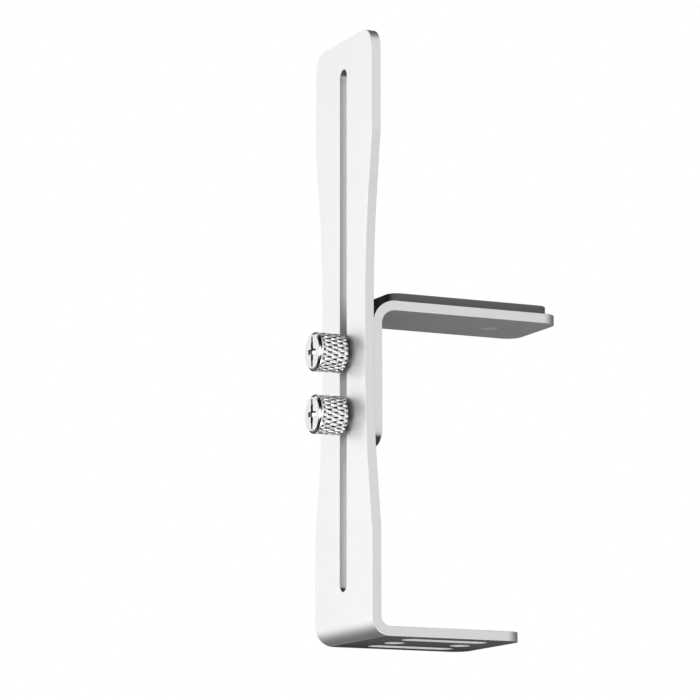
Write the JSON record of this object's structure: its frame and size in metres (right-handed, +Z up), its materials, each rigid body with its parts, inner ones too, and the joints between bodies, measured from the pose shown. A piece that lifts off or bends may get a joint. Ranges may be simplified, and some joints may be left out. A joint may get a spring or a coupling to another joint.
{
  "type": "graphics card support bracket",
  "caption": "Waisted, slotted sheet-metal upright on a drilled foot, with a sliding padded shelf clamped by knurled thumb screws, to prop up a sagging graphics card.",
  "frame": {"origin": "middle of the foot's hole pattern, on the foot's underside", "axes": "+Z up along the post, +X from the post towards the foot's end and the shelf's end, Y across the width"},
  "size_m": [0.0644, 0.034, 0.155],
  "materials": {
    "satin_aluminium": "fine bead-blasted satin",
    "pad_rubber": "matte",
    "bright_plated_steel": "bright plated"
  },
  "bodies": {
    "upright": {"upright": "satin_aluminium"},
    "arm": {"support_arm": "satin_aluminium", "shelf_pad": "pad_rubber"},
    "upper_screw": {"upper_thumb_screw": "bright_plated_steel"},
    "lower_screw": {"lower_thumb_screw": "bright_plated_steel"}
  },
  "joints": [
    {"name": "arm_slide", "type": "slide", "parent": "upright", "child": "arm", "axis": [0, 0, 1], "range_m": [-0.0425, 0.0723]},
    {"name": "upper_screw_turn", "type": "hinge", "parent": "arm", "child": "upper_screw", "pos_m": [-0.0235, 0, 0.073], "axis": [-1, 0, 0], "range_deg": [0, 450]},
    {"name": "lower_screw_turn", "type": "hinge", "parent": "arm", "child": "lower_screw", "pos_m": [-0.0235, 0, 0.057], "axis": [-1, 0, 0], "range_deg": [0, 450]}
  ]
}
